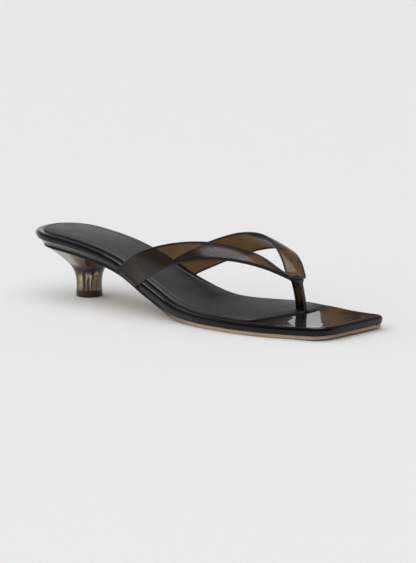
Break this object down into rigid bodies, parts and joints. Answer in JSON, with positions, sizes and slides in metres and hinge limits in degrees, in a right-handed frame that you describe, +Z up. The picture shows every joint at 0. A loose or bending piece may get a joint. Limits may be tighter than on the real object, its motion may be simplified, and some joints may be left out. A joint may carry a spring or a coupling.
{
  "type": "kitten heel shoe",
  "caption": "Right kitten heel thong sandal with a square toe, translucent V straps, a toe post and a flared translucent heel.",
  "frame": {"origin": "bottom centre of the bounding box, on the floor the shoe stands on", "axes": "+X from the heel to the toe, +Y to the inner side of the foot, +Z up"},
  "size_m": [0.2564, 0.0842, 0.05],
  "materials": {
    "patent_leather": "black patent, mirror gloss",
    "sock_leather": "black nappa, matt to satin, fine grain",
    "sole_leather": "natural tan sole leather, satin",
    "strap_vinyl": "smoky brown translucent vinyl with black painted edges",
    "heel_acrylic": "smoky brown translucent moulded heel, polished",
    "tip_rubber": "dark brown top piece, satin"
  },
  "bodies": {
    "root": {"outsole": "sole_leather", "footbed": "patent_leather", "sock_lining": "sock_leather", "upper": "strap_vinyl", "toe_post": "strap_vinyl", "heel": "heel_acrylic", "heel_tip": "tip_rubber"}
  },
  "joints": []
}
